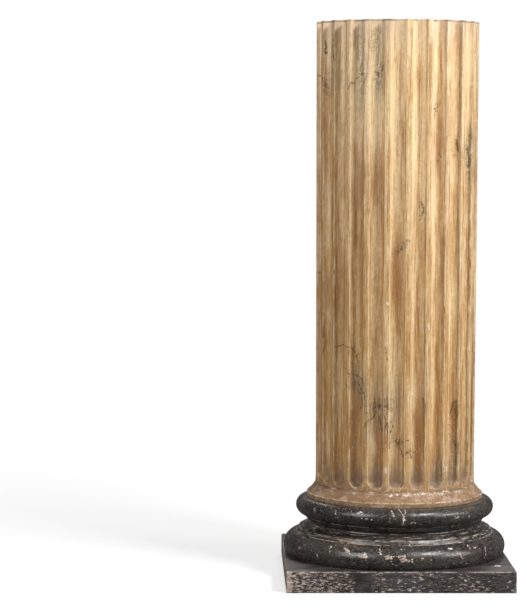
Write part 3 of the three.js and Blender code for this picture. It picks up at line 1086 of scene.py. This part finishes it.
# Chips through the black of the base: width in millimetres, then angle and height of each point
BASE_CHIPS = (
    (3.0, (-69.9, 0.162)),
    (5.5, (-57.5, 0.162), (-56.2, 0.162)),
    (3.6, (-39.5, 0.165), (-39.3, 0.16)),
    (4.0, (-38.9, 0.153), (-37.9, 0.153)),
    (3.0, (-29.4, 0.167)),
    (5.0, (-24.3, 0.168), (-22.9, 0.168)),
    (3.2, (-22.7, 0.157)),
    (3.6, (-19.9, 0.157), (-19.2, 0.157)),
    (3.2, (-16.8, 0.155)),
    (3.2, (-11.4, 0.162), (-10.8, 0.163)),
    (3.6, (-5.8, 0.172), (-4.3, 0.165)),
    (3.0, (-1.6, 0.176), (0.8, 0.17), (1.4, 0.16), (1.2, 0.144)),
    (2.8, (2.8, 0.176), (1.9, 0.166), (1.9, 0.154)),
    (3.4, (5.6, 0.149), (8.2, 0.15)),
    (2.6, (28.0, 0.174), (28.9, 0.173)),
    (2.6, (34.5, 0.167)),
    (4.0, (33.4, 0.155), (35.2, 0.156)),
    (3.0, (43.7, 0.155)),
    (3.6, (-61.6, 0.077), (-60.9, 0.075)),
    (4.0, (-46.3, 0.07), (-46.1, 0.066)),
    (2.4, (-38.7, 0.08), (-39.6, 0.09), (-36.8, 0.095)),
    (4.5, (-30.5, 0.09), (-27.4, 0.083)),
    (8.5, (-21.2, 0.079), (-18.6, 0.078)),
    (3.0, (-11.2, 0.095), (-10.6, 0.084)),
    (6.0, (-7.6, 0.079), (-5.6, 0.078)),
    (4.0, (-1.4, 0.08), (1.6, 0.081)),
    (7.0, (-0.2, 0.073), (4.4, 0.072)),
    (3.6, (9.6, 0.075), (10.6, 0.074)),
    (4.5, (26.2, 0.092), (27.6, 0.091)),
    (2.4, (29.7, 0.084), (31.6, 0.08), (33.2, 0.067)),
    (3.8, (39.0, 0.092), (39.6, 0.089)),
    (4.2, (42.0, 0.087), (43.8, 0.088)),
    (2.0, (51.2, 0.088), (49.6, 0.064)),
)
BROWN_WORN = (
    (9, (-38.0, 0.103), (-22.0, 0.098)),
    (6, (41.2, 0.171), (50.3, 0.168)),
    (7, (0.0, 0.147), (8.0, 0.148)),
    (8, (31.0, 0.083), (33.5, 0.072)),
)


# The scotia's flare, where the black is scratched level
FLARE_LOW = 97 * MM
FLARE_HIGH = 118 * MM
FLARE_SOFT = 4 * MM


def paint_base(paints, group):
    paint = Paint("base_paint")
    place = paint.place()
    radius = (BASE_HIGH.x - BASE_LOW.x) / 2
    wandering = paint.shaken(paint.unrolled(place, radius), 110.0, 0.012)
    height = paint.parts(place)[2]
    clouds = paint.noise(place, 16.0, 4.0, 0.6)
    fine = paint.drawn(place, 1.8, 150.0, 4.0, 0.7)
    colour = paint.blend(paint.fade(clouds, 0.38, 0.66), paints.black, paints.dull_black)
    colour = paint.over(colour, paints.rubbed, paint.fade(fine, 0.46, 0.66), 0.7)
    scuffs = paint.noise(paint.stretch(place, 0.7, 0.7, 1.6), 230.0, 3.0, 0.7)
    colour = paint.over(colour, paints.scuffed, paint.fade(scuffs, 0.56, 0.68), 0.6)

    touched = strokes(paint, group, wandering, radius, BASE_CHIPS)
    flaky = paint.noise(paint.stretch(place, 0.8, 0.8, 1.5), 230.0, 3.0, 0.65)
    chips = paint.fade(paint.add((touched, 0.23), flaky), 0.64, 0.69)
    small = paint.fade(paint.add(flaky, (clouds, 0.45)), 0.93, 0.96)
    broken = paint.fade(paint.drawn(place, 2, 50.0, 5.0, 0.7), 0.46, 0.54)
    edge = paint.times(paint.fade(paint.mark("arris"), 0.55, 0.95), broken)
    scratched = paint.noise(paint.stretch(place, 0.14, 0.14, 2.4), 170.0, 3.0, 0.6)
    scratches = paint.times(
        paint.fade(height, FLARE_LOW, FLARE_LOW + FLARE_SOFT),
        paint.less(paint.fade(height, FLARE_HIGH, FLARE_HIGH + FLARE_SOFT)),
        paint.fade(scratched, 0.55, 0.62))
    brown = strokes(paint, group, wandering, radius, BROWN_WORN)
    colour = paint.over(colour, paints.foot, brown, paint.spots(place, 120.0, 4.0, 0.7, 0.42, 0.58), 0.45)
    bare = paint.most(chips, small, (edge, 0.8), (scratches, 0.5))
    tone = paint.blend(paint.spots(place, 70.0, 2.0, 0.5, 0.45, 0.65), paints.ground, paints.chalk)
    colour = paint.over(colour, tone, bare)

    rough = paint.add(0.14, (fine, 0.18), (clouds, 0.12), (bare, 0.3))
    relief = paint.add((clouds, 0.9), (fine, 0.5), (paint.drawn(place, 6, 40.0), 0.4))
    return paint.finish(colour, rough, relief, 1.0 * MM, 0.6)


# The deep chip on the plinth's top, the left and right ends of the whole paint on its front, and how far left
# of each place the paint gets more flaked: where that starts and where it is full
TOP_CHIP = (0.218, -0.177, 0.047)
SMOOTH_PATCH = (-0.101, -0.0665)
FLAKED_LEFT = (-0.11, -0.25)
FLAKED_BY_PATCH = (-0.06, -0.12)


def paint_plinth(paints):
    paint = Paint("plinth_paint")
    place = paint.place()
    x, y, height = paint.parts(place)
    clouds = paint.noise(place, 14.0, 4.0, 0.6)
    grain = paint.noise(paint.stretch(place, 0.12, 0.7, 1), 200.0, 4.0, 0.65)
    colour = paint.blend(paint.fade(clouds, 0.4, 0.66), paints.black, paints.slate_black)
    colour = paint.over(colour, paints.rubbed, paint.fade(grain, 0.42, 0.66), 0.75)

    normal = paint.parts(paint.node("NewGeometry").outputs["Normal"])[2]
    upright = paint.less(paint.fade(paint.math("ABSOLUTE", normal), 0.4, 0.8))
    front = paint.ramp(y, PLINTH_LOW.y + 10 * MM, PLINTH_LOW.y + 3 * MM)
    left, right = SMOOTH_PATCH
    across = paint.add(x, (paint.noise(place, 60.0, 3.0, 0.6), 0.02), -0.01)
    smooth = paint.times(
        front, paint.fade(across, left - 6 * MM, left + 2 * MM),
        paint.less(paint.fade(across, right - 2 * MM, right + 6 * MM)))
    whole = paint.less(paint.times(smooth, 0.95))
    dashes = paint.noise(paint.stretch(place, 0.42, 0.42, 1.4), 210.0, 3.0, 0.65, 0.6)
    cover = paint.add(
        (paint.ramp(x, *FLAKED_LEFT), 0.06), (paint.ramp(x, *FLAKED_BY_PATCH), 0.035),
        (paint.ramp(height, PLINTH_HIGH.z, PLINTH_LOW.z), 0.03), (paint.noise(place, 16.0, 3.0, 0.55), 0.26),
        -0.158)
    flaked = paint.times(paint.fade(paint.add(dashes, cover), 0.575, 0.605), upright, whole)
    scuffs = paint.fade(paint.noise(paint.stretch(place, 0.3, 0.3, 1.5), 300.0, 3.0, 0.7, 0.4), 0.5, 0.6)
    colour = paint.over(colour, paints.scuffed, scuffs, upright, whole, 0.42)
    top_grain = paint.noise(paint.stretch(place, 0.25, 0.7, 1), 75.0, 4.0, 0.75)
    level = paint.less(upright)
    colour = paint.over(colour, paints.scuffed, paint.fade(top_grain, 0.5, 0.58), level, 0.36)
    colour = paint.over(colour, paints.black, paint.less(paint.fade(top_grain, 0.4, 0.48)), level, 0.8)

    to_chip = paint.vector("DISTANCE", paint.shaken(place, 150.0, 0.02), TOP_CHIP)["Value"]
    chip = paint.less(paint.fade(to_chip, 6 * MM, 9 * MM))
    broken = paint.spots(place, 80.0, 4.0, 0.7, 0.42, 0.55)
    edge = paint.times(paint.fade(paint.mark("arris"), 0.55, 0.95), broken)
    at_left = paint.ramp(x, PLINTH_LOW.x + 22 * MM, PLINTH_LOW.x)
    corner = paint.fade(paint.add(at_left, front, (paint.noise(place, 90.0, 3.0, 0.6), 0.9)), 1.75, 2.0)
    bare = paint.most(flaked, (edge, 0.7), (corner, 0.9))
    tone = paint.blend(paint.spots(place, 130.0, 3.0, 0.6, 0.4, 0.75), paints.ground, paints.chalk)
    colour = paint.over(colour, tone, bare, 0.95)
    colour = paint.over(colour, paints.chalk, chip)

    rough = paint.add(0.3, (grain, 0.2), (bare, 0.3))
    relief = paint.add((dashes, 0.6), (bare, -0.9), (grain, 0.3))
    return paint.finish(colour, rough, relief, 0.9 * MM, 0.7)


# Studio

# The lights' distance from the point that they face and its height, then each one's side, its angle from the
# front and its angle above level
LIGHT_DISTANCE = 3.4
LIGHT_AIM = 0.7
LIGHTS = (
    ("key_light", 0.7, 41, 40),
    ("side_light", 1.2, 65, 15),
    ("fill_light", 1.5, -46, 20),
    ("back_light", 2.0, 180, 40),
)
FLOOR_POINTS = 96
FLOOR_SHARP = math.radians(60)


def build_backdrop(studio):
    """A floor that curves up into a wall on every side. Only the camera sees it: it throws no light back."""
    curve = arc_points(
        studio.floor_reach, studio.wall_curve, studio.wall_curve, studio.wall_curve, -math.pi / 2, 0, 16)
    profile = np.concatenate([
        straight((0.0, 0.0), (studio.floor_reach, 0.0), 8),
        curve[1:],
        straight(curve[-1], (curve[-1][0], studio.wall_height), 2),
    ])
    angles = np.linspace(0, 2 * math.pi, FLOOR_POINTS, endpoint=False)
    rings = on_circle(angles[None, :], profile[:, :1], profile[:, 1:])
    points = np.concatenate([rings.reshape(-1, 3), [(0, 0, 0)]])
    middle = len(points) - 1
    faces = [(middle, i, (i + 1) % FLOOR_POINTS) for i in range(FLOOR_POINTS)]
    faces += [face[::-1] for face in ring_faces(len(profile), FLOOR_POINTS)]
    floor = make_object("studio_floor", points, faces, {}, FLOOR_SHARP)
    paint = Paint("floor_paint")
    across = paint.vector("LENGTH", paint.stretch(paint.place(), 1, 1, 0))["Value"]
    far = paint.fade(across, 0.4, 0.4 * studio.floor_reach)
    for name, value in (
            ("Base Color", paint.blend(far, studio.floor_colour, (0, 0, 0))), ("Roughness", 0.9),
            ("Specular IOR Level", 0.0), ("Emission Color", (1, 1, 1)),
            ("Emission Strength", paint.add(studio.floor_glow, (far, 1 - studio.floor_glow)))):
        paint.feed(paint.shader.inputs[name], value)
    floor.data.materials.append(paint.material)
    floor.visible_diffuse = floor.visible_glossy = floor.visible_shadow = False


def add_light(name, power, size, turn, rise):
    """A square light that faces the column, placed by its angle from the front and its angle above level."""
    light = bpy.data.lights.new(name, "AREA")
    light.shape = "SQUARE"
    light.size = size
    light.energy = power
    aim = Vector((0, 0, LIGHT_AIM))
    turn, rise = math.radians(turn), math.radians(rise)
    away = Vector((math.cos(rise) * math.sin(turn), -math.cos(rise) * math.cos(turn), math.sin(rise)))
    lamp = bpy.data.objects.new(name, light)
    lamp.location = aim + LIGHT_DISTANCE * away
    lamp.rotation_euler = away.to_track_quat("Z", "Y").to_euler()
    bpy.context.scene.collection.objects.link(lamp)


def add_camera(studio):
    turn, tilt, roll = studio.eye_turn, studio.eye_tilt, studio.eye_roll
    ahead = Vector((math.sin(turn) * math.cos(tilt), math.cos(turn) * math.cos(tilt), -math.sin(tilt)))
    right = Vector((math.cos(turn), -math.sin(turn), 0))
    up = right.cross(ahead)
    rolled_right = right * math.cos(roll) + up * math.sin(roll)
    rolled_up = up * math.cos(roll) - right * math.sin(roll)
    view = bpy.data.cameras.new("photo_view")
    view.sensor_fit = "VERTICAL"
    view.sensor_height = 36
    view.lens = studio.lens
    camera = bpy.data.objects.new("photo_view", view)
    axes = Matrix((rolled_right, rolled_up, -ahead)).transposed().to_4x4()
    place = Vector((studio.eye_side, -studio.eye_distance, studio.eye_height))
    camera.matrix_world = Matrix.Translation(place) @ axes
    bpy.context.scene.collection.objects.link(camera)
    bpy.context.scene.camera = camera


# Operators

def add_paint(piece, material):
    piece.data.materials.clear()
    piece.data.materials.append(material)


def brush():
    return bpy.data.node_groups.get("brush_stroke") or brush_group()


class COLUMN_OT_shaft(Operator):
    """Builds the fluted shaft with its marbling"""
    bl_idname = "column.shaft"
    bl_label = "Shaft"

    def execute(self, context):
        scene = context.scene
        add_paint(build_shaft(scene.column_shapes), paint_shaft(scene.column_paints, brush()))
        return {"FINISHED"}


class COLUMN_OT_foot_ring(Operator):
    """Builds the turned ring at the shaft's foot"""
    bl_idname = "column.foot_ring"
    bl_label = "Foot ring"

    def execute(self, context):
        scene = context.scene
        add_paint(build_foot_ring(scene.column_shapes), paint_foot_ring(scene.column_paints, brush()))
        return {"FINISHED"}


class COLUMN_OT_base(Operator):
    """Builds the black turned base"""
    bl_idname = "column.base"
    bl_label = "Base"

    def execute(self, context):
        scene = context.scene
        add_paint(build_base(scene.column_shapes), paint_base(scene.column_paints, brush()))
        return {"FINISHED"}


class COLUMN_OT_plinth(Operator):
    """Builds the square plinth with its flaked paint"""
    bl_idname = "column.plinth"
    bl_label = "Plinth"

    def execute(self, context):
        scene = context.scene
        add_paint(build_plinth(scene.column_shapes), paint_plinth(scene.column_paints))
        return {"FINISHED"}


class COLUMN_OT_studio(Operator):
    """Sets up the floor, the light and the camera"""
    bl_idname = "column.studio"
    bl_label = "Studio"

    def execute(self, context):
        scene = context.scene
        studio = scene.column_studio
        build_backdrop(studio)
        for name, size, turn, rise in LIGHTS:
            add_light(name, getattr(studio, name), size, turn, rise)
        world = bpy.data.worlds.new("studio_light")
        world.use_nodes = True
        background = world.node_tree.nodes["Background"]
        background.inputs["Color"].default_value = (1, 1, 1, 1)
        background.inputs["Strength"].default_value = studio.room_light
        scene.world = world
        scene.view_settings.view_transform = "Standard"
        add_camera(studio)
        return {"FINISHED"}


class COLUMN_PT_panel(Panel):
    """Lists the column's operators and settings"""
    bl_idname = "COLUMN_PT_panel"
    bl_label = "Half column"
    bl_space_type = "VIEW_3D"
    bl_region_type = "UI"
    bl_category = "Half column"

    def draw(self, context):
        layout = self.layout
        for operator in OPERATORS:
            layout.operator(operator.bl_idname)
        for group in ("column_shapes", "column_paints", "column_studio"):
            settings = getattr(context.scene, group)
            box = layout.box()
            for name in settings.bl_rna.properties.keys():
                if name not in ("rna_type", "name"):
                    box.prop(settings, name)


OPERATORS = (COLUMN_OT_shaft, COLUMN_OT_foot_ring, COLUMN_OT_base, COLUMN_OT_plinth, COLUMN_OT_studio)
GROUPS = {"column_shapes": ColumnShapes, "column_paints": ColumnPaints, "column_studio": ColumnStudio}


def register():
    for group in GROUPS.values():
        bpy.utils.register_class(group)
    for name, group in GROUPS.items():
        setattr(bpy.types.Scene, name, PointerProperty(type=group))
    for operator in OPERATORS:
        bpy.utils.register_class(operator)
    bpy.utils.register_class(COLUMN_PT_panel)


def unregister():
    bpy.utils.unregister_class(COLUMN_PT_panel)
    for operator in reversed(OPERATORS):
        bpy.utils.unregister_class(operator)
    for name in GROUPS:
        delattr(bpy.types.Scene, name)
    for group in reversed(GROUPS.values()):
        bpy.utils.unregister_class(group)


def main():
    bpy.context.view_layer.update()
    register()
    bpy.ops.column.studio()
    bpy.ops.column.shaft()
    bpy.ops.column.foot_ring()
    bpy.ops.column.base()
    bpy.ops.column.plinth()
    bpy.context.view_layer.update()


if __name__ == "__main__":
    main()
